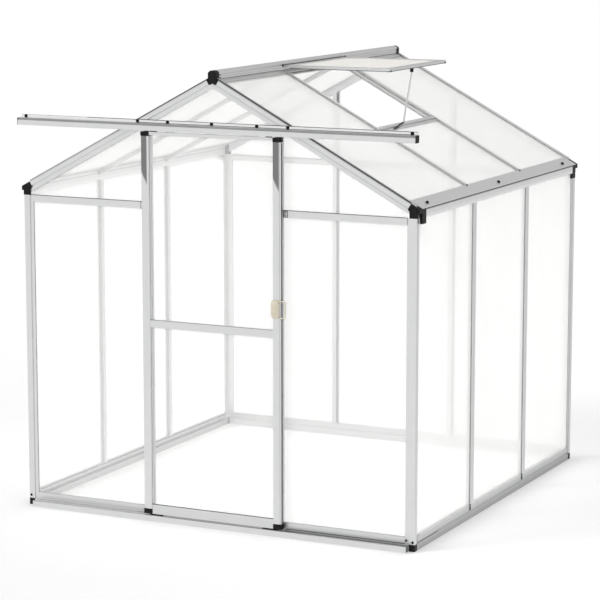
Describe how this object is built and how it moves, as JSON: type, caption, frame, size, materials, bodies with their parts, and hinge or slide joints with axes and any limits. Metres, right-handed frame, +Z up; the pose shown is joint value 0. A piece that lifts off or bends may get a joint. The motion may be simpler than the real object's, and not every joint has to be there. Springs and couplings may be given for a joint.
{
  "type": "polycarbonate greenhouse",
  "caption": "Small walk-in greenhouse with an aluminium frame, twin-wall polycarbonate sheets, a sliding door on a top track and a propped roof vent.",
  "frame": {"origin": "on the ground, below the middle of the greenhouse with its door track and handle", "axes": "+X along the front to the right, the side with the roof vent; +Y from the door to the back wall; +Z up"},
  "size_m": [1.924, 1.9704, 1.996],
  "materials": {
    "alloy": "mill-finish extruded aluminium",
    "sheet": "clear twin-wall polycarbonate",
    "black_plastic": "moulded black plastic",
    "handle_plastic": "moulded cream plastic"
  },
  "bodies": {
    "house": {"base_front": "alloy", "base_back": "alloy", "base_left": "alloy", "base_right": "alloy", "base_corners": "black_plastic", "door_guide": "alloy", "corner_posts": "alloy", "studs_left": "alloy", "studs_right": "alloy", "studs_back": "alloy", "door_jambs": "alloy", "tie_rails_front": "alloy", "tie_rails_back": "alloy", "gable_rafters_front": "alloy", "gable_rafters_back": "alloy", "roof_rafters_left": "alloy", "roof_rafters_right": "alloy", "ridge_beam": "alloy", "ridge_caps": "black_plastic", "eave_left": "alloy", "eave_right": "alloy", "eave_caps": "black_plastic", "wall_sheets_left": "sheet", "wall_sheets_right": "sheet", "wall_sheets_back": "sheet", "wall_sheets_front": "sheet", "gable_sheets_front": "sheet", "gable_sheets_back": "sheet", "roof_sheets_left": "sheet", "roof_sheets_right": "sheet", "door_track": "alloy", "track_caps": "black_plastic", "vent_frame": "alloy", "vent_sheet": "sheet", "vent_sill": "alloy", "vent_knob": "black_plastic", "vent_stay": "alloy"},
    "door": {"door_stiles": "alloy", "door_top_rail": "alloy", "door_mid_rail": "alloy", "door_bottom_rail": "alloy", "door_sheets": "sheet", "door_caps": "black_plastic", "door_rollers": "black_plastic", "door_handle": "handle_plastic"}
  },
  "joints": [
    {"name": "door_slide", "type": "slide", "parent": "house", "child": "door", "axis": [1, 0, 0], "range_m": [-0.59, 0.59]}
  ]
}
